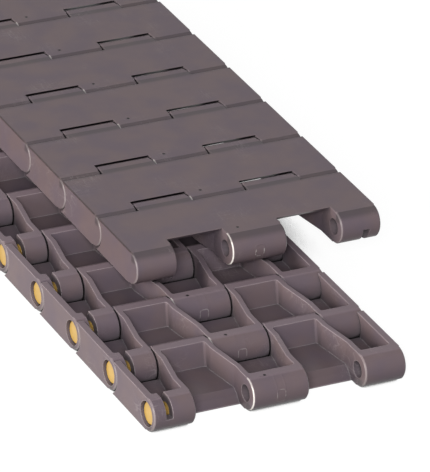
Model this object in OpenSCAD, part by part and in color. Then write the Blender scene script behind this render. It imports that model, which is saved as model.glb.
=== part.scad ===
// Slat top chain, moulded to width, as two lengths of one chain laid one on the other:
// the upper length right side up, the lower length turned over to show its underside.
// Every slat is one moulding. Its near edge has three knuckles and its far edge two,
// so that slats mesh like a hinge round a plain pin, which a push-in plug keeps in.
//
// Frame of a slat: X across the chain, Y along it from the near pin to the far pin,
// Z up from the pin's axis, with the carrying face on top.

/* [Chain] */
// Distance from one hinge pin to the next
pitch = 25.4; // [22:0.1:32]
// Width of a slat across the chain
slat_w = 83.8; // [78:0.1:110]
// Thickness of a slat, from its carrying face to the crests underneath
slat_t = 10.6; // [9:0.1:13]
// Slats in the upper length
upper_count = 7; // [3:1:8]
// Slats in the lower length
lower_count = 11; // [6:1:12]

/* [Slat] */
// Thickness of the carrying plate
plate_t = 3.2; // [2:0.1:3.6]
// Width of the knuckle in the middle of the near edge
centre_knuckle_w = 18.6; // [14:0.1:23]
// Width of each outer knuckle on the near edge
outer_knuckle_w = 13.7; // [12:0.1:17]
// How far a knuckle's round stands past half the thickness, at its nose
knuckle_extra = 0.1; // [0.05:0.05:0.4]
// Gap between the side faces of meshed knuckles
side_gap = 0.35; // [0.2:0.05:0.8]
// Gap between a knuckle's round and the hollow seat that it turns in
seat_gap = 0.6; // [0.4:0.05:1]
// How far the seat's ramp between the near knuckles runs on past its round
ramp_run = 1.5; // [0.5:0.1:2.5]
// Slope of that ramp, off level
ramp_slope = 32; // [25:1:40]
// Thickness of the rails along both sides
rail_t = 2.2; // [1.4:0.1:3]
// Thickness of the cranked ribs between bays and pockets
rib_t = 1.7; // [1.2:0.1:2.6]
// Slant of the bay and pocket end walls, off upright
wall_slant = 16; // [10:1:24]
// Least wall left between a bore and a slanted end wall
bore_wall = 0.5; // [0.4:0.05:1.2]
// Radius in the corners of the bays and pockets
corner_r = 0.8; // [0.5:0.1:2.4]
// How far the plate's far edge stands back from the seat's round
edge_back = 0.4; // [0.3:0.1:2.2]
// Depth of that edge's bevel
edge_bevel = 0.5; // [0.4:0.1:1.2]
// Chamfer round the end faces of the knuckles
knuckle_chamfer = 0.4; // [0.2:0.05:0.8]

/* [Pin and plug] */
// Diameter of the hinge pin
pin_d = 5.2; // [4:0.1:5.8]
// Radial clearance of the pin in its bores
pin_clear = 0.05; // [0.03:0.01:0.1]
// Wall left at the blind end of the near bore
blind_wall = 2.6; // [1.6:0.1:4]
// Diameter of the plug's head
plug_d = 7.4; // [6.6:0.1:7.8]
// Radial clearance round the plug's head
plug_clear = 0.25; // [0.1:0.05:0.4]
// How deep the head sits below the side face
plug_recess = 0.9; // [0.6:0.1:2]
// Thickness of the plug's head
plug_head_t = 1.1; // [0.8:0.1:2.4]
// Length of the plug's shank behind its head
plug_shank = 6; // [4:0.5:9]
// Waist of the shank, seen through the access slot
plug_waist_d = 3.6; // [2.6:0.1:4]
// Distance of the access slot from the side face
slot_in = 3.9; // [3.4:0.1:5]
// Width of the access slot
slot_w = 2.2; // [1.6:0.1:3]
// Gap between the plug's tip and the pin, and between the pin and the blind end
end_gap = 0.3; // [0.2:0.1:1]

/* [Lay of the two lengths] */
// Gap between the two lengths
lay_gap = 0.5; // [0.4:0.1:3]
// How far the lower length lies to the left of the upper one
lay_x = 24.7; // [0:0.1:40]
// How far the lower length's near end stands out in front of the upper one's
lay_y = 63.2; // [60:0.1:75]

/* [Hidden] */
$fn = 72;
half_w = slat_w / 2;
half_t = slat_t / 2;
centre_x = centre_knuckle_w / 2;               // side faces of the centre knuckle
outer_x = half_w - outer_knuckle_w;            // inner faces of the outer knuckles
far_x0 = centre_x + side_gap;                  // inner faces of the far knuckles
far_x1 = outer_x - side_gap;                   // outer faces of the far knuckles
knuckle_r = half_t + knuckle_extra;
seat_r = knuckle_r + seat_gap;
bore_r = pin_d / 2 + pin_clear;
wall_r = bore_r + bore_wall;                   // slanted walls touch this circle
floor_z = half_t - plate_t;                    // inner face of the plate
ramp_y = sqrt(seat_r * seat_r - floor_z * floor_z) + ramp_run;   // where the ramp meets the floor
crank_y0 = ramp_y + 0.4;                       // the ribs' crank starts clear of the ramp
crank_y1 = pitch - seat_r;                     // and ends clear of the next knuckle
plate_edge = sqrt(seat_r * seat_r - half_t * half_t) + edge_back;
head_seat = plug_recess + plug_head_t;         // depth of the counterbore
past = 1;                                      // how far a cut runs past a face
bite = 0.02;                                   // how far a corner's round cuts into its walls
reach = 2 * pitch;                             // longer than any cut along the chain

slat_color = [0.44, 0.39, 0.41];
pin_color = [0.86, 0.85, 0.82];
plug_color = [0.93, 0.77, 0.36];

lower_near = -(lower_count * pitch) / 2;       // near pin of the lower length
upper_near = lower_near + lay_y;               // near pin of the upper length
lower_mid_z = half_t;
upper_mid_z = slat_t + lay_gap + half_t;

UPPER_SLATS = [for (i = [1:upper_count]) str("upper_slat_", i)];
UPPER_PINS = [for (i = [2:upper_count]) str("upper_pin_", i)];
UPPER_PLUGS = [for (i = [2:upper_count]) str("upper_plug_", i)];
LOWER_SLATS = [for (i = [1:lower_count]) str("lower_slat_", i)];
LOWER_PINS = [for (i = [2:lower_count]) str("lower_pin_", i)];
LOWER_PLUGS = [for (i = [1:lower_count]) str("lower_plug_", i)];

// A solid of revolution about an axis along X, from an outline of [radius, x] points.
module turned(outline) {
    rotate([0, 90, 0]) rotate_extrude() polygon(outline);
}

// A round bar along X with chamfered ends.
module bar(r, x0, x1, chamfer) {
    turned([[0, x0], [r - chamfer, x0], [r, x0 + chamfer],
            [r, x1 - chamfer], [r - chamfer, x1], [0, x1]]);
}

// A straight round cut along X.
module bore(r, x0, x1) {
    translate([x0, 0, 0]) rotate([0, 90, 0]) cylinder(r = r, h = x1 - x0);
}

// A block between two X values and two Y values, the full thickness of the slat.
module block(x0, x1, y0, y1) {
    translate([x0, y0, -half_t]) cube([x1 - x0, y1 - y0, slat_t]);
}

// Knuckle: the chamfered bar, flattened to the thickness of the slat.
module knuckle(x0, x1) {
    intersection() {
        bar(knuckle_r, x0, x1, knuckle_chamfer);
        block(x0, x1, -seat_r, seat_r);
    }
}

// Places its children against the slanted wall of a far knuckle. There the wall is the
// plane y = 0, the bay is on the side of negative y, and z runs up the slant.
module at_far_wall() {
    translate([0, pitch, 0]) rotate([wall_slant, 0, 0]) translate([0, -wall_r, 0]) children();
}

// The same against the slanted wall behind a near knuckle.
module at_near_wall() {
    mirror([0, 1, 0]) rotate([wall_slant, 0, 0]) translate([0, -wall_r, 0]) children();
}

// All the room in front of a slanted wall, less the round in its corners at x0 and x1.
module room_to_wall(x0, x1) {
    difference() {
        translate([-slat_w, -reach, -slat_t]) cube([2 * slat_w, reach, 2 * slat_t]);
        corner_post(x0);
        mirror([1, 0, 0]) corner_post(-x1);
    }
}

// The solid that rounds one upright corner of a hollow.
module corner_post(x) {
    translate([x - past, past, -slat_t]) linear_extrude(2 * slat_t) difference() {
        translate([0, -corner_r - past]) square([corner_r + past, corner_r + past]);
        translate([corner_r + past - bite, -corner_r - past + bite]) circle(corner_r);
    }
}

// The hollow of one bay, between far_x0 and far_x1. It is open towards the near edge,
// its sides crank inwards, and its end is the slanted face of the far knuckle.
module bay() {
    x0 = far_x0 + rib_t;
    x1 = far_x1 - rib_t;
    intersection() {
        translate([0, 0, floor_z - reach]) linear_extrude(reach) polygon([
            [centre_x, -seat_r], [outer_x, -seat_r], [outer_x, crank_y0], [x1, crank_y1],
            [x1, pitch], [x0, pitch], [x0, crank_y1], [centre_x, crank_y0]]);
        at_far_wall() room_to_wall(x0, x1);
    }
}

// The hollow behind the centre knuckle, open at the far edge.
module centre_pocket() {
    x1 = centre_x - rib_t;
    intersection() {
        translate([0, 0, floor_z - reach]) linear_extrude(reach) polygon([
            [-x1, 0], [x1, 0], [x1, crank_y0], [far_x0, crank_y1], [far_x0, pitch + past],
            [-far_x0, pitch + past], [-far_x0, crank_y1], [-x1, crank_y0]]);
        at_near_wall() room_to_wall(-x1, x1);
    }
}

// The hollow behind the outer knuckle on the right side.
module outer_pocket() {
    x0 = outer_x + rib_t;
    x1 = half_w - rail_t;
    intersection() {
        translate([0, 0, floor_z - reach]) linear_extrude(reach) polygon([
            [x0, 0], [x1, 0], [x1, pitch + past], [far_x1, pitch + past],
            [far_x1, crank_y1], [x0, crank_y0]]);
        at_near_wall() room_to_wall(x0, x1);
    }
}

// The hollow seat between two near knuckles, for a far knuckle of the slat before. Its round
// runs out into a ramp down to the plate's inner face.
module near_seat(x0, x1) {
    rise = 4;                                      // the ramp's cut ends inside the round
    drop = 0.3;                                    // and a little past the plate's inner face
    bore(seat_r, x0, x1);
    translate([x0, 0, floor_z]) rotate([90, 0, 90]) linear_extrude(x1 - x0) polygon([
        [0, -drop * tan(ramp_slope)], [ramp_y + drop, -drop * tan(ramp_slope)],
        [ramp_y - rise, rise * tan(ramp_slope)]]);
}

// The hollow seat for a near knuckle of the next slat, with the bevel on the plate's edge.
module far_seat(x0, x1) {
    bevel_y = sqrt(seat_r * seat_r - (half_t - edge_bevel) * (half_t - edge_bevel));
    translate([0, pitch, 0]) {
        bore(seat_r, x0, x1);
        translate([x0, 0, half_t]) rotate([90, 0, 90]) linear_extrude(x1 - x0) polygon([
            [-plate_edge, 0], [-bevel_y, -edge_bevel], [0, -edge_bevel], [0, past],
            [-plate_edge, past]]);
    }
}

// The slot that bares the plug's waist, from the nose of the knuckle into its pocket.
module access_slot() {
    translate([half_w - slot_in - slot_w, -knuckle_r - past, -half_t - past])
        cube([slot_w, 2 * knuckle_r + past, half_t + past]);
}

// One slat. The plug goes in at its right side, and the left end of the bore is blind.
module slat() {
    difference() {
        union() {
            block(-half_w, half_w, 0, pitch);
            knuckle(-half_w, -outer_x);
            knuckle(-centre_x, centre_x);
            knuckle(outer_x, half_w);
            translate([0, pitch, 0]) knuckle(far_x0, far_x1);
            translate([0, pitch, 0]) knuckle(-far_x1, -far_x0);
        }
        for (side = [0, 1]) mirror([side, 0, 0]) {
            bay();
            outer_pocket();
            near_seat(centre_x, outer_x);
            far_seat(far_x1, half_w + past);
        }
        centre_pocket();
        far_seat(-far_x0, far_x0);
        bore(bore_r, -half_w + blind_wall, half_w);
        bore(plug_d / 2 + plug_clear, half_w - head_seat, half_w + past);
        translate([0, pitch, 0]) bore(bore_r, -far_x1 - past, far_x1 + past);
        access_slot();
    }
}

// Hinge pin: a plain bar from the blind end to the plug.
module pin() {
    tip = 0.4;
    bar(pin_d / 2, -half_w + blind_wall + end_gap,
        half_w - head_seat - plug_shank - end_gap, tip);
}

// Plug: a domed head in the counterbore, and a waisted shank that fills the bore's mouth.
module plug() {
    shank_r = pin_d / 2;
    waist_r = plug_waist_d / 2;
    head_r = plug_d / 2;
    seat = half_w - head_seat;
    waist_x0 = half_w - slot_in - slot_w;
    waist_x1 = half_w - slot_in;
    rim = 0.4;
    turned([[0, seat - plug_shank], [shank_r - rim, seat - plug_shank],
            [shank_r, seat - plug_shank + rim], [shank_r, waist_x0], [waist_r, waist_x0 + rim],
            [waist_r, waist_x1 - rim], [shank_r, waist_x1], [shank_r, seat], [head_r, seat],
            [head_r, half_w - plug_recess - rim], [head_r - rim, half_w - plug_recess],
            [0, half_w - plug_recess]]);
}

// Places its children at slat i of the upper length.
module upper_place(i) {
    translate([lay_x / 2, upper_near + (i - 1) * pitch, upper_mid_z]) children();
}

// Places its children at slat i of the lower length, turned over about its length.
module lower_place(i) {
    translate([-lay_x / 2, lower_near + (i - 1) * pitch, lower_mid_z])
        rotate([0, 180, 0]) children();
}

module upper_slat(i) color(slat_color) upper_place(i) slat();
module upper_pin(i) color(pin_color) upper_place(i) pin();
module upper_plug(i) color(plug_color) upper_place(i) plug();
module lower_slat(i) color(slat_color) lower_place(i) slat();
module lower_pin(i) color(pin_color) lower_place(i) pin();
module lower_plug(i) color(plug_color) lower_place(i) plug();

for (i = [1:upper_count]) upper_slat(i);
for (i = [2:upper_count]) upper_pin(i);
for (i = [2:upper_count]) upper_plug(i);
for (i = [1:lower_count]) lower_slat(i);
for (i = [2:lower_count]) lower_pin(i);
for (i = [1:lower_count]) lower_plug(i);
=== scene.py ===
import bpy
import math
from mathutils import Matrix, Vector


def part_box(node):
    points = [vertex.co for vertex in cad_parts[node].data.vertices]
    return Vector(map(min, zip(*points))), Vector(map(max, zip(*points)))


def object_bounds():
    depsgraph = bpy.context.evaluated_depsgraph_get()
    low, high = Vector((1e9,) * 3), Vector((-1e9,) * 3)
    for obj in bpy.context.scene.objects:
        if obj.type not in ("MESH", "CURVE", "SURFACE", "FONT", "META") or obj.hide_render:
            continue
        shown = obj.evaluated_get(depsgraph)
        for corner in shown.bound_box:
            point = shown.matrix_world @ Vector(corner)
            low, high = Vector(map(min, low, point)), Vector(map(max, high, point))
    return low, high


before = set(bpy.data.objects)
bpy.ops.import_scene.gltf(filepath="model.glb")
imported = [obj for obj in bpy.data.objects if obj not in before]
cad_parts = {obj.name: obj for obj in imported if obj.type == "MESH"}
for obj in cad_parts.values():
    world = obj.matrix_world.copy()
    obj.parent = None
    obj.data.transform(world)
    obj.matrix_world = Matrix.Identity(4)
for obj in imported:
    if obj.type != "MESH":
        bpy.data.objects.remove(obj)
cad_low, cad_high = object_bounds()


# ---------------------------------------------------------------- slats
# Each slat is one acetal moulding: a flat plate with rails, cranked ribs and
# knuckles on its underside. The plastic is dyed through and satin from the mould.
# Its colour also carries painted highlights on its edges and painted shade in its bays.

MILLIMETRE = 0.001
SLAT_PITCH = 25.4 * MILLIMETRE
KNUCKLE_RADIUS = 5.4 * MILLIMETRE
ACETAL_IOR = 1.48
# A pit's face (1 the carrying side, -1 the underside) and its place in millimetres,
# across the chain from the middle and along it from the near pin.
PIT_PLACES = ((1.0, -4.4, 1.9), (-1.0, 3.6, -0.6))


def add(tree, kind, feeds=None, **settings):
    """Adds one shader node. Its sockets take values or other nodes' outputs."""
    made = tree.nodes.new("ShaderNode" + kind)
    for name, value in settings.items():
        setattr(made, name, value)
    for socket, value in (feeds or {}).items():
        if isinstance(value, bpy.types.NodeSocket):
            tree.links.new(value, made.inputs[socket])
        else:
            made.inputs[socket].default_value = value
    return made


def math_node(tree, operation, *values, clamp=False):
    """One Math node fed by values or outputs, in order."""
    feeds = dict(enumerate(values))
    return add(tree, "Math", feeds, operation=operation, use_clamp=clamp).outputs[0]


def times(tree, *values):
    """Product of two or more values or outputs."""
    product = values[0]
    for value in values[1:]:
        product = math_node(tree, "MULTIPLY", product, value)
    return product


def less(tree, value):
    """What is left of 1 after a mask."""
    return math_node(tree, "SUBTRACT", 1.0, value)


def between(tree, value, low, high):
    """0 up to low, 1 past high, and a smooth change between. Low may be the greater."""
    feeds = {"Value": value, "From Min": low, "From Max": high}
    made = add(tree, "MapRange", feeds, interpolation_type="SMOOTHSTEP")
    return made.outputs["Result"]


def blend_colours(tree, share, first, second):
    """first where share is 0, second where it is 1."""
    made = add(tree, "Mix", data_type="RGBA")
    colour_in = [s for s in made.inputs if s.type == "RGBA"]
    factor = made.inputs[0]
    for socket, value in ((factor, share), (colour_in[0], first), (colour_in[1], second)):
        if isinstance(value, bpy.types.NodeSocket):
            tree.links.new(value, socket)
        else:
            socket.default_value = value
    return [s for s in made.outputs if s.type == "RGBA"][0]


def start_group(name, inputs, outputs):
    """A new node group with its named sockets: (group, inputs' node, outputs' node)."""
    group = bpy.data.node_groups.new(name, "ShaderNodeTree")
    for label, kind, value in inputs:
        socket_type = "NodeSocket" + kind
        socket = group.interface.new_socket(label, in_out="INPUT", socket_type=socket_type)
        socket.default_value = value
    for label, kind in outputs:
        socket_type = "NodeSocket" + kind
        group.interface.new_socket(label, in_out="OUTPUT", socket_type=socket_type)
    return group, group.nodes.new("NodeGroupInput"), group.nodes.new("NodeGroupOutput")


def place_group(tree, group, **values):
    """Puts a group into a material, with this material's own values."""
    made = tree.nodes.new("ShaderNodeGroup")
    made.node_tree = group
    for name, value in values.items():
        socket = made.inputs[name.replace("_", " ")]
        if isinstance(value, bpy.types.NodeSocket):
            tree.links.new(value, socket)
        else:
            socket.default_value = value
    return made


def start_material(name):
    """A material with only its Principled shader and output: (material, tree, shader)."""
    material = bpy.data.materials.new(name)
    material.use_nodes = True
    tree = material.node_tree
    return material, tree, tree.nodes["Principled BSDF"]


def soft_edges_group():
    """Rounds edges for the light, and masks where a point lies: near an outer edge,
    near an inner join, in a hollow, or in a narrow gap. Nearness to an edge or a join
    is one less the cosine between the face's normal and the rounded one."""
    group, given, result = start_group(
        "moulded edges",
        [("Radius", "Float", 0.3 * MILLIMETRE), ("Reach", "Float", 0.5 * MILLIMETRE)],
        [
            ("Normal", "Vector"),
            ("Edge", "Float"),
            ("Join", "Float"),
            ("Hollow", "Float"),
            ("Gap", "Float"),
        ],
    )
    rounded = add(group, "Bevel", {"Radius": given.outputs["Radius"]}, samples=6)
    wide = add(group, "Bevel", {"Radius": given.outputs["Reach"]}, samples=6)
    face = add(group, "NewGeometry")
    cosine = add(
        group,
        "VectorMath",
        {0: wide.outputs["Normal"], 1: face.outputs["Normal"]},
        operation="DOT_PRODUCT",
    )
    bend = math_node(group, "SUBTRACT", 1.0, cosine.outputs["Value"], clamp=True)
    open_sky = add(
        group, "AmbientOcclusion", {"Distance": 6 * MILLIMETRE}, samples=6
    ).outputs["AO"]
    near_bend = between(group, bend, 0.01, 0.12)
    outer = between(group, open_sky, 0.55, 0.85)
    near_sky = add(
        group, "AmbientOcclusion", {"Distance": 2.5 * MILLIMETRE}, samples=8
    ).outputs["AO"]
    masks = {
        "Edge": times(group, near_bend, outer),
        "Join": times(group, near_bend, less(group, outer)),
        "Hollow": less(group, between(group, open_sky, 0.15, 0.75)),
        "Gap": less(group, between(group, near_sky, 0.15, 0.42)),
    }
    group.links.new(rounded.outputs["Normal"], result.inputs["Normal"])
    for label, mask in masks.items():
        group.links.new(mask, result.inputs[label])
    return group


def moulded_skin_group():
    """Height in metres of a moulded surface: fine orange peel over slow unevenness.
    Mottle is the slow part by itself, for colour and gloss."""
    group, given, result = start_group(
        "moulded skin",
        [("Peel per metre", "Float", 2600.0), ("Slow per metre", "Float", 90.0)],
        [("Height", "Float"), ("Mottle", "Float")],
    )
    place = add(group, "TexCoord").outputs["Object"]
    layers = []
    for label, detail, roughness in (("Peel", 3.0, 0.55), ("Slow", 2.0, 0.5)):
        feeds = {
            "Vector": place,
            "Scale": given.outputs[label + " per metre"],
            "Detail": detail,
            "Roughness": roughness,
        }
        layers.append(add(group, "TexNoise", feeds).outputs["Fac"])
    peel, slow = layers
    height = math_node(
        group,
        "ADD",
        times(group, peel, 0.0035 * MILLIMETRE),
        times(group, slow, 0.03 * MILLIMETRE),
    )
    group.links.new(height, result.inputs["Height"])
    group.links.new(between(group, slow, 0.3, 0.7), result.inputs["Mottle"])
    return group


def scuffs_group():
    """Fine rubbing marks: thin bands of a noise that is drawn out along the chain,
    broken up by a slower noise."""
    group, given, result = start_group(
        "rubbing marks",
        [("Amount", "Float", 0.5)],
        [("Marks", "Float")],
    )
    place = add(group, "TexCoord").outputs["Object"]
    along, across = ((1400.0, 90.0, 300.0), 0.12), ((160.0, 1500.0, 300.0), 0.5)
    marks = []
    for scale, turn in (along, across):
        feeds = {"Vector": place, "Scale": scale, "Rotation": (0, 0, turn)}
        course = add(group, "Mapping", feeds)
        noise = add(
            group,
            "TexNoise",
            {"Vector": course.outputs["Vector"], "Scale": 1.0, "Detail": 1.0},
        ).outputs["Fac"]
        off = math_node(group, "ABSOLUTE", math_node(group, "SUBTRACT", noise, 0.5))
        marks.append(less(group, between(group, off, 0.004, 0.02)))
    feeds = {"Vector": place, "Scale": 55.0, "Detail": 2.0}
    patches = add(group, "TexNoise", feeds).outputs["Fac"]
    both = math_node(group, "MAXIMUM", *marks)
    shown = times(group, both, between(group, patches, 0.52, 0.72), given.outputs["Amount"])
    group.links.new(shown, result.inputs["Marks"])
    return group


def mould_marks_group():
    """Marks of the mould, in a slat's own frame. Height, in metres, has a raised ring
    and two narrow strips on the centre knuckle's nose, a pit on each of its faces and
    a shallow sink over the thick middle. Pit masks the pits, and the last output masks
    the pale places: the knuckles' rims, pale where their flash was trimmed and painted
    brighter as a highlight in places, and a painted highlight on the ring's lower half."""
    group, given, result = start_group(
        "mould marks",
        [("Local", "Vector", (0, 0, 0)), ("Ring", "Float", 0.5)],
        [("Height", "Float"), ("Pit", "Float"), ("Trim and highlight", "Float")],
    )
    local = add(group, "SeparateXYZ", {0: given.outputs["Local"]})
    across, height = local.outputs["X"], local.outputs["Z"]
    along = math_node(group, "WRAP", local.outputs["Y"], SLAT_PITCH / 2, -SLAT_PITCH / 2)

    def past(value, low, high):
        """0 up to low millimetres, 1 past high, and a smooth change between."""
        return between(group, value, low * MILLIMETRE, high * MILLIMETRE)

    def size_of(value):
        """The value without its sign."""
        return math_node(group, "ABSOLUTE", value)

    def off(value, middle):
        """The value less so many millimetres."""
        return math_node(group, "SUBTRACT", value, middle * MILLIMETRE)

    def outside(value, half_width):
        """How far the value lies outside a band about 0, in metres."""
        return math_node(group, "MAXIMUM", off(size_of(value), half_width), 0.0)

    def reach(*steps):
        """Length of a vector whose parts are given."""
        squares = [times(group, step, step) for step in steps]
        return math_node(group, "SQRT", math_node(group, "ADD", *squares))

    def faded(mask, fade, start=1.0):
        """Start where the mask is 0, and less by fade where it is 1."""
        return math_node(group, "MULTIPLY_ADD", mask, -fade, start)

    off_ring = size_of(off(reach(outside(across, 0.7), outside(height, 1.2)), 0.7))
    at_nose = less(group, past(along, -4.4, -4.0))
    ring = times(group, less(group, past(off_ring, 0.0, 0.25)), at_nose)
    off_strip = size_of(off(size_of(across), 1.4))
    strips = times(
        group,
        less(group, past(off_strip, 0.05, 0.3)),
        less(group, past(height, -2.2, -1.8)),
        less(group, past(along, -1.4, -1.0)),
    )

    pits = []
    for side, pit_across, pit_along in PIT_PLACES:
        off_pit = reach(off(across, pit_across), off(along, pit_along))
        on_face = past(times(group, height, side), 4.8, 5.0)
        pits.append(times(group, less(group, past(off_pit, 0.34, 0.62)), on_face))
    pit = math_node(group, "MAXIMUM", *pits)

    feeds = {"Vector": given.outputs["Local"], "Scale": 31.0, "Detail": 0.0}
    patches = add(group, "TexNoise", feeds).outputs["Fac"]
    off_sink = reach(times(group, off(across, -3.2), 1.8), off(along, 4.5))
    sink = times(
        group, less(group, past(off_sink, 0.5, 3.2)), between(group, patches, 0.45, 0.6)
    )

    relief = times(group, ring, 0.09 * MILLIMETRE)
    for mask, rise in ((strips, 0.04), (pit, -0.15), (sink, -0.05)):
        relief = math_node(group, "MULTIPLY_ADD", mask, rise * MILLIMETRE, relief)
    group.links.new(relief, result.inputs["Height"])
    group.links.new(pit, result.inputs["Pit"])

    normal = add(group, "SeparateXYZ", {0: add(group, "NewGeometry").outputs["Normal"]})
    facing = normal.outputs["X"]
    slant = size_of(facing)
    on_chamfer = math_node(
        group, "SUBTRACT", between(group, slant, 0.5, 0.62), between(group, slant, 0.8, 0.92)
    )
    radius = reach(along, height)
    on_barrel = math_node(
        group, "SUBTRACT", past(radius, 4.95, 5.08), past(radius, 5.25, 5.38)
    )
    # Rims: the knuckles' end chamfers, pale where the flash was trimmed, with a painted
    # highlight that is strongest where they face the left lamp, on the centre knuckle, on
    # the barrel's front half and at middle height.
    rim = times(
        group,
        on_chamfer,
        on_barrel,
        faded(between(group, facing, -0.2, 0.2), 0.75),
        faded(past(size_of(across), 9.6, 10), 0.72, start=0.85),
        past(along, 0.5, -0.5),
        faded(past(size_of(height), 3.4, 4.2), 0.55),
    )
    feeds = {"Vector": given.outputs["Local"], "Scale": 900.0, "Detail": 1.0}
    broken = add(group, "TexNoise", feeds).outputs["Fac"]
    # Painted highlight on the lower half of the raised ring, broken up by a fine noise.
    ring_highlight = times(
        group,
        ring,
        past(height, 0.9, 0.2),
        between(group, broken, 0.3, 0.55),
        given.outputs["Ring"],
    )
    group.links.new(math_node(group, "MAXIMUM", rim, ring_highlight), result.inputs["Trim and highlight"])
    return group


def link_bump(tree, shader, height, normal, strength=1.0, distance=1.0):
    """Gives the shader a height over a rounded normal."""
    feeds = {"Height": height, "Normal": normal, "Strength": strength, "Distance": distance}
    bump = add(tree, "Bump", feeds)
    tree.links.new(bump.outputs["Normal"], shader.inputs["Normal"])


edges_group = soft_edges_group()
skin_group = moulded_skin_group()
scuffs = scuffs_group()
marks_group = mould_marks_group()


def slat_plastic(name, first_slat, turned):
    """Dyed acetal: two close shades mottled together, under rubbing marks, the mould's
    pale trimmed rims and pits, and painted light and shade: highlights on edges, joins,
    rims and the ring, lighter rib crests, and shade below the creases, in hollows, in
    narrow gaps and as a dark reflection along one top edge. The mould's marks are placed
    from the near pin of a length's first slat; a turned length lies on its carrying faces."""
    material, tree, shader = start_material(name)
    edges = place_group(tree, edges_group)
    skin = place_group(tree, skin_group)
    rubbing = place_group(tree, scuffs, Amount=0.35)
    low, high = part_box(first_slat)
    flip = -1.0 if turned else 1.0
    near_pin = ((low.x + high.x) / 2, low.y + KNUCKLE_RADIUS, (low.z + high.z) / 2)
    local = add(
        tree,
        "Mapping",
        {
            "Vector": add(tree, "TexCoord").outputs["Object"],
            "Location": (-flip * near_pin[0], -near_pin[1], -flip * near_pin[2]),
            "Scale": (flip, 1.0, flip),
        },
    ).outputs["Vector"]
    # Ring sets the strength of the painted highlight on the mould's ring.
    marks = place_group(tree, marks_group, Local=local, Ring=0.2 if turned else 0.45)
    place = add(tree, "SeparateXYZ", {0: local})
    across, height = place.outputs["X"], place.outputs["Z"]
    along = math_node(tree, "WRAP", place.outputs["Y"], SLAT_PITCH / 2, -SLAT_PITCH / 2)

    def past(value, low_mark, high_mark):
        """0 up to the low mark in millimetres, 1 past the high one, smooth between."""
        return between(tree, value, low_mark * MILLIMETRE, high_mark * MILLIMETRE)

    # Painted shade: a darker band on the knuckles' fronts just below the crease.
    crease_painted_shade = times(
        tree, past(along, -0.95, -1.1), past(along, -4.4, -2.6), past(height, 2.0, 3.0)
    )
    # Painted light: the rib crests, which face up on the turned length, are made lighter.
    crest_painted_light = past(height, -5.05, -5.25)
    # Painted dark reflection: a dark line along the edge where the carrying face meets one
    # side face.
    from_side = math_node(tree, "ADD", across, (high.x - low.x) / 2)
    from_face = math_node(tree, "SUBTRACT", (high.z - low.z) / 2, height)
    from_side_face_edge = math_node(tree, "MAXIMUM", from_side, from_face)
    painted_dark_reflection = less(tree, past(from_side_face_edge, 0.2, 0.55))

    warm, cool = (0.139, 0.103, 0.111, 1), (0.121, 0.094, 0.114, 1)
    colour = blend_colours(tree, skin.outputs["Mottle"], warm, cool)
    shades = (
        # Painted shade below the knuckles' crease.
        (crease_painted_shade, 0.62, (0.055, 0.048, 0.052, 1)),
        # Painted shade deep in hollows and bays.
        (edges.outputs["Hollow"], 0.75, (0.098, 0.088, 0.096, 1)),
        # Painted light on the rib crests.
        (crest_painted_light, 0.7, (0.185, 0.142, 0.165, 1)),
        # Painted highlight along outer edges, stronger on the turned length.
        (edges.outputs["Edge"], 0.5 if turned else 0.12, (0.4, 0.34, 0.36, 1)),
        # Painted highlight along inner joins, on the turned length only.
        (edges.outputs["Join"], 0.62 if turned else 0.0, (0.27, 0.25, 0.26, 1)),
        (rubbing.outputs["Marks"], 1.0, (0.3, 0.26, 0.27, 1)),
        # Pale trimmed rims, with a painted highlight on them and on the ring.
        (marks.outputs["Trim and highlight"], 1.0, (0.75, 0.72, 0.7, 1)),
        (marks.outputs["Pit"], 1.0, (0.012, 0.01, 0.011, 1)),
        # Painted dark reflection along one top edge.
        (painted_dark_reflection, 0.75, (0.045, 0.031, 0.031, 1)),
        # Painted shade: near black deep in narrow gaps.
        (edges.outputs["Gap"], 0.93, (0.004, 0.004, 0.004, 1)),
    )
    for mask, strength, shade in shades:
        colour = blend_colours(tree, times(tree, mask, strength), colour, shade)
    tree.links.new(colour, shader.inputs["Base Color"])
    gloss = math_node(tree, "MULTIPLY_ADD", skin.outputs["Mottle"], 0.06, 0.33)
    tree.links.new(gloss, shader.inputs["Roughness"])
    shader.inputs["IOR"].default_value = ACETAL_IOR
    shader.inputs["Specular IOR Level"].default_value = 0.13
    relief = math_node(tree, "ADD", skin.outputs["Height"], marks.outputs["Height"])
    link_bump(tree, shader, relief, edges.outputs["Normal"])
    return material


# The two materials differ in the frame of the mould's marks and in the strength of their
# painted highlights on edges, joins and the ring.
slat_materials = {
    "upper": slat_plastic("slat acetal, face up", "upper_slat_1", turned=False),
    "lower": slat_plastic("slat acetal, face down", "lower_slat_1", turned=True),
}
for name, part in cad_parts.items():
    length, piece = name.split("_")[:2]
    if piece == "slat":
        part.material_slots[0].material = slat_materials[length]


# ---------------------------------------------------------------- hinge pins
# A hinge pin is a plain bar of bright drawn steel through the five knuckles of
# a joint. Drawing leaves fine lines along it.


def pin_steel():
    """Drawn steel: fine lines along the bar, in its tone, gloss and relief."""
    material, tree, shader = start_material("pin steel")
    place = add(tree, "TexCoord").outputs["Object"]
    drawn = add(tree, "Mapping", {"Vector": place, "Scale": (60.0, 3000.0, 3000.0)})
    feeds = {"Vector": drawn.outputs["Vector"], "Scale": 1.0, "Detail": 2.0}
    lines = add(tree, "TexNoise", feeds).outputs["Fac"]
    colour = blend_colours(tree, lines, (0.5, 0.49, 0.47, 1), (0.68, 0.67, 0.65, 1))
    tree.links.new(colour, shader.inputs["Base Color"])
    shader.inputs["Metallic"].default_value = 1.0
    gloss = math_node(tree, "MULTIPLY_ADD", lines, 0.16, 0.2)
    tree.links.new(gloss, shader.inputs["Roughness"])
    normal = place_group(tree, edges_group, Radius=0.15 * MILLIMETRE).outputs["Normal"]
    link_bump(tree, shader, lines, normal, strength=0.15, distance=0.02 * MILLIMETRE)
    return material


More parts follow.
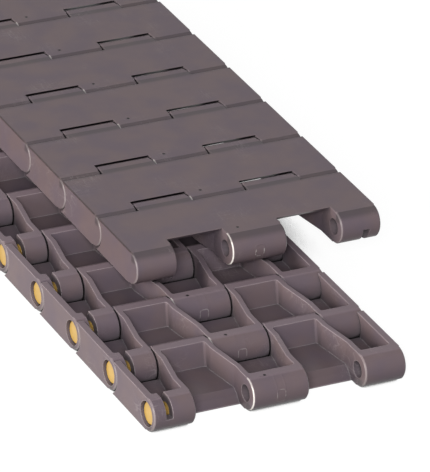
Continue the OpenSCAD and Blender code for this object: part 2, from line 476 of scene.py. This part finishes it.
pin_material = pin_steel()
for name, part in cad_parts.items():
    if "_pin_" in name:
        part.material_slots[0].material = pin_material


# ---------------------------------------------------------------- plugs
# A plug is a small yellow moulding pushed into the side face after the pin.
# Its head sits below the face in a counterbore, and its waist shows in the slot.


def plug_plastic():
    """Yellow plastic with painted shade in its hollows, and the skin of a small moulding."""
    material, tree, shader = start_material("plug plastic")
    edges = place_group(tree, edges_group, Radius=0.25 * MILLIMETRE)
    skin = place_group(tree, skin_group, Slow_per_metre=320.0)
    light, dark = (0.47, 0.3, 0.075, 1), (0.43, 0.27, 0.065, 1)
    body = blend_colours(tree, skin.outputs["Mottle"], light, dark)
    # Painted shade: the yellow is darkened where the Hollow mask finds a recess.
    painted_hollow_shade = times(tree, edges.outputs["Hollow"], 0.5)
    colour = blend_colours(tree, painted_hollow_shade, body, (0.26, 0.15, 0.04, 1))
    tree.links.new(colour, shader.inputs["Base Color"])
    shader.inputs["Roughness"].default_value = 0.32
    shader.inputs["IOR"].default_value = ACETAL_IOR
    normal = edges.outputs["Normal"]
    link_bump(tree, shader, skin.outputs["Height"], normal, strength=0.6)
    return material


plug_material = plug_plastic()
for name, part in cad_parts.items():
    if "_plug_" in name:
        part.material_slots[0].material = plug_material


# ---------------------------------------------------------------- floor and light
# The chain lies on a plain white table top in even studio light, with a warm soft
# lamp on its left and a white one in front, and the backdrop is as white as the
# table. The table keeps the chain's own shadow close under it, partly as painted
# shade: the table's glow is cut back where it is shut in under the chain.

FLOOR_REACH = 6.0
FLOOR_DROP = 0.05 * MILLIMETRE
FLOOR_GREY = 0.15
FLOOR_GLOW = 0.92
SHADOW_REACH = 60 * MILLIMETRE
AMBIENT = 0.25
CORNERS = ((-1, -1), (1, -1), (1, 1), (-1, 1))


def seen_share(tree):
    """1 for the rays that show the background, and 0 for those that light the chain."""
    path = add(tree, "LightPath")
    seen = math_node(
        tree, "ADD", path.outputs["Is Camera Ray"], path.outputs["Is Glossy Ray"], clamp=True
    )
    return math_node(tree, "ADD", seen, path.outputs["Is Transmission Ray"], clamp=True)


floor_mesh = bpy.data.meshes.new("floor")
floor_mesh.from_pydata(
    [(x * FLOOR_REACH, y * FLOOR_REACH, -FLOOR_DROP) for x, y in CORNERS],
    [],
    [(0, 1, 2, 3)],
)
floor = bpy.data.objects.new("floor", floor_mesh)
bpy.context.scene.collection.objects.link(floor)
floor_material, tree, shader = start_material("white table")
shader.inputs["Base Color"].default_value = (FLOOR_GREY, FLOOR_GREY, FLOOR_GREY, 1)
shader.inputs["Roughness"].default_value = 0.9
shader.inputs["Specular IOR Level"].default_value = 0.0
shader.inputs["Emission Color"].default_value = (1, 1, 1, 1)
# Painted shade: the glow is cut back where ambient occlusion finds the table shut in under
# the chain.
sky_mask = add(tree, "AmbientOcclusion", {"Distance": SHADOW_REACH}, samples=24)
out_of_shadow = between(tree, sky_mask.outputs["AO"], 0.07, 0.2)
glow = times(tree, seen_share(tree), out_of_shadow, FLOOR_GLOW)
tree.links.new(glow, shader.inputs["Emission Strength"])
floor_mesh.materials.append(floor_material)

world = bpy.data.worlds.new("studio")
bpy.context.scene.world = world
world.use_nodes = True
tree = world.node_tree
sky = tree.nodes["Background"]
sky.inputs["Color"].default_value = (1, 1, 1, 1)
level = math_node(tree, "MULTIPLY_ADD", seen_share(tree), 1.0 - AMBIENT, AMBIENT)
tree.links.new(level, sky.inputs["Strength"])


def soft_lamp(name, direction, distance, size, watts, colour):
    """A square soft lamp that faces the middle of the chain from a direction."""
    lamp = bpy.data.objects.new(name, bpy.data.lights.new(name, "AREA"))
    lamp.data.shape = "SQUARE"
    lamp.data.size = size
    lamp.data.energy = watts
    lamp.data.color = colour
    away = Vector(direction).normalized()
    lamp.location = (cad_low + cad_high) / 2 + away * distance
    lamp.rotation_euler = (-away).to_track_quat("-Z", "Y").to_euler()
    bpy.context.scene.collection.objects.link(lamp)


soft_lamp("left lamp", (-0.95, -0.15, 0.25), 1.6, 0.8, 31.0, (1.0, 0.96, 0.87))
soft_lamp("front lamp", (-0.42, -0.77, 0.48), 2.0, 0.6, 30.0, (1.0, 1.0, 1.0))


# ---------------------------------------------------------------- camera
# A long lens looks down at the near ends from the left, turned a little about
# its own axis. It aims beside the top of the upper length's first hinge.

VIEW_AZIMUTH = math.radians(28.556)
VIEW_ELEVATION = math.radians(28.829)
VIEW_ROLL = math.radians(3.572)
VIEW_DISTANCE = 1606.1 * MILLIMETRE
AIM_RIGHT, AIM_UP = -11.7 * MILLIMETRE, -2.62 * MILLIMETRE
LENS, SENSOR = 401.3, 36.0
NEAR_CLIP, FAR_CLIP = 0.05, 40.0

camera = bpy.data.objects.new("camera", bpy.data.cameras.new("camera"))
bpy.context.scene.collection.objects.link(camera)
bpy.context.scene.camera = camera
camera.data.sensor_width = SENSOR
camera.data.lens = LENS
camera.data.clip_start, camera.data.clip_end = NEAR_CLIP, FAR_CLIP
forward = Vector(
    (
        math.sin(VIEW_AZIMUTH) * math.cos(VIEW_ELEVATION),
        math.cos(VIEW_AZIMUTH) * math.cos(VIEW_ELEVATION),
        -math.sin(VIEW_ELEVATION),
    )
)
level_right = forward.cross(Vector((0, 0, 1))).normalized()
level_up = level_right.cross(forward)
right = math.cos(VIEW_ROLL) * level_right + math.sin(VIEW_ROLL) * level_up
up = math.cos(VIEW_ROLL) * level_up - math.sin(VIEW_ROLL) * level_right
near_low, near_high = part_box("upper_slat_1")
aim = Vector(
    ((near_low.x + near_high.x) / 2, near_low.y + KNUCKLE_RADIUS, near_high.z)
)
aim += AIM_RIGHT * right + AIM_UP * up
eye = aim - VIEW_DISTANCE * forward
turned_to_view = Matrix((right, up, -forward)).transposed().to_4x4()
camera.matrix_world = Matrix.Translation(eye) @ turned_to_view
bpy.context.scene.view_settings.view_transform = "Standard"
